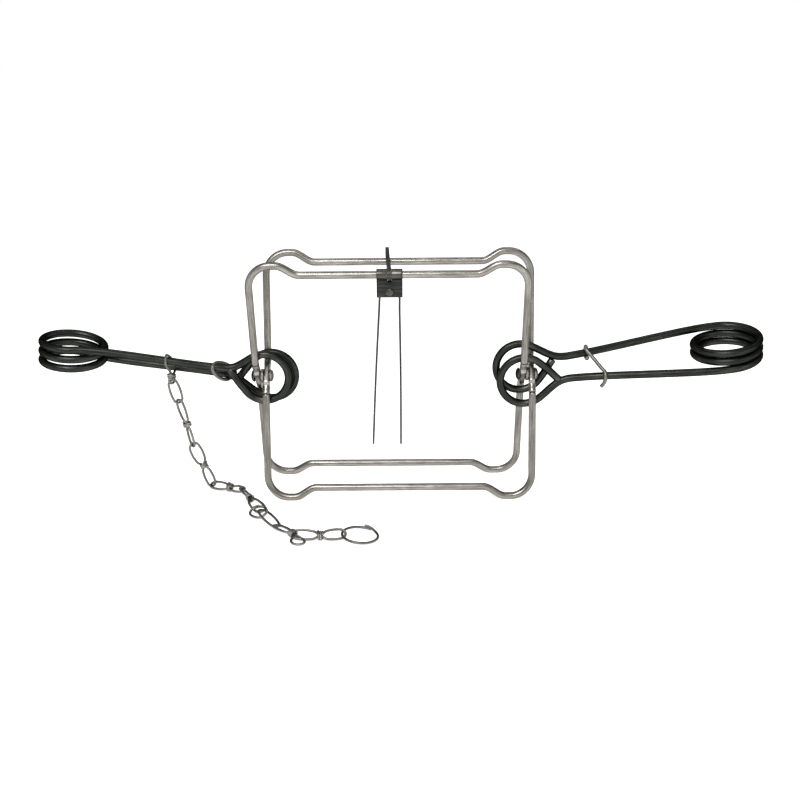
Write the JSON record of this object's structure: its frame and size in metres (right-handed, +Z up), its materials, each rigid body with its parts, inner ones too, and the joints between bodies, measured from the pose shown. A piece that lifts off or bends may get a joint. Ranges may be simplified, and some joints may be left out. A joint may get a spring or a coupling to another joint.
{
  "type": "body grip trap",
  "caption": "Body grip trap with two hinged square wire jaws, a wound spring on each side, a hanging wire trigger, a dog and a chain.",
  "frame": {"origin": "below the middle of the trap without its chain, on the surface that it stands on", "axes": "+X to the spread spring, +Y away from the trigger side, +Z up"},
  "size_m": [0.6948, 0.1723, 0.2323],
  "materials": {
    "jaw_steel": "dull grey brown round rod with rubbed bright streaks",
    "spring_steel": "dark oil hardened steel, satin",
    "pale_steel": "pale grey worn zinc coated steel",
    "rivet_steel": "dull grey steel, worn"
  },
  "bodies": {
    "rear_jaw": {"jaw_rear": "jaw_steel", "pivot_rivet_left": "rivet_steel", "pivot_rivet_right": "rivet_steel", "pivot_washer_left": "rivet_steel", "pivot_washer_right": "rivet_steel"},
    "front_jaw": {"jaw_front": "jaw_steel"},
    "left_spring": {"spring_left": "spring_steel", "chain_clip": "pale_steel", "hook_left": "pale_steel"},
    "right_spring": {"spring_right": "spring_steel"},
    "right_hook": {"hook_right": "pale_steel"},
    "trigger": {"trigger_bracket": "spring_steel", "bracket_rivet": "pale_steel", "trigger_wire": "spring_steel"},
    "dog": {"dog": "pale_steel"},
    "chain_top": {"chain_link_1": "pale_steel"},
    "chain": {"chain_link_2": "pale_steel", "chain_link_3": "pale_steel", "chain_link_4": "pale_steel", "chain_link_5": "pale_steel", "chain_link_6": "pale_steel", "chain_link_7": "pale_steel", "chain_link_8": "pale_steel", "chain_link_9": "pale_steel", "chain_link_10": "pale_steel", "chain_link_11": "pale_steel", "chain_link_12": "pale_steel", "chain_link_13": "pale_steel"},
    "end_ring": {"chain_end_ring": "pale_steel"}
  },
  "joints": [
    {"name": "jaw_fold", "type": "hinge", "parent": "rear_jaw", "child": "front_jaw", "pos_m": [-0.00511, -0.00018, 0.1158], "axis": [1, 0, 0], "range_deg": [0, 140]},
    {"name": "left_spring_swivel", "type": "hinge", "parent": "rear_jaw", "child": "left_spring", "pos_m": [-0.00511, -0.00018, 0.1158], "axis": [1, 0, 0], "range_deg": [0, 70]},
    {"name": "right_spring_swivel", "type": "hinge", "parent": "rear_jaw", "child": "right_spring", "pos_m": [-0.00511, -0.00018, 0.1158], "axis": [1, 0, 0], "range_deg": [0, 70]},
    {"name": "hook_lift", "type": "hinge", "parent": "right_spring", "child": "right_hook", "pos_m": [0.17589, 0.00762, 0.13263], "axis": [-0.9729, -0.1661, -0.1611], "range_deg": [0, 50]},
    {"name": "trigger_swing", "type": "hinge", "parent": "front_jaw", "child": "trigger", "pos_m": [-0.00831, -0.03168, 0.2195], "axis": [1, 0, 0], "range_deg": [-30, 50]},
    {"name": "dog_lift", "type": "hinge", "parent": "front_jaw", "child": "dog", "pos_m": [-0.00831, -0.03168, 0.2195], "axis": [1, 0, 0], "range_deg": [0, 49]},
    {"name": "chain_hang", "type": "hinge", "parent": "left_spring", "child": "chain_top", "pos_m": [-0.21981, -0.00018, 0.1122], "axis": [1, 0, 0], "range_deg": [-70, 0]},
    {"name": "chain_swing", "type": "hinge", "parent": "chain_top", "child": "chain", "pos_m": [-0.21461, -0.00018, 0.0905], "axis": [0, 0, -1], "range_deg": [0, 40]},
    {"name": "ring_tilt", "type": "hinge", "parent": "chain", "child": "end_ring", "pos_m": [-0.05021, -0.11718, 0.00416], "axis": [0, -1, 0], "range_deg": [0, 35]}
  ],
  "couplings": [
    {"joint": "left_spring_swivel", "follows": "jaw_fold", "ratio": 0.5},
    {"joint": "right_spring_swivel", "follows": "jaw_fold", "ratio": 0.5},
    {"joint": "dog_lift", "follows": "jaw_fold", "ratio": 0.35},
    {"joint": "chain_hang", "follows": "jaw_fold", "ratio": -0.5}
  ]
}
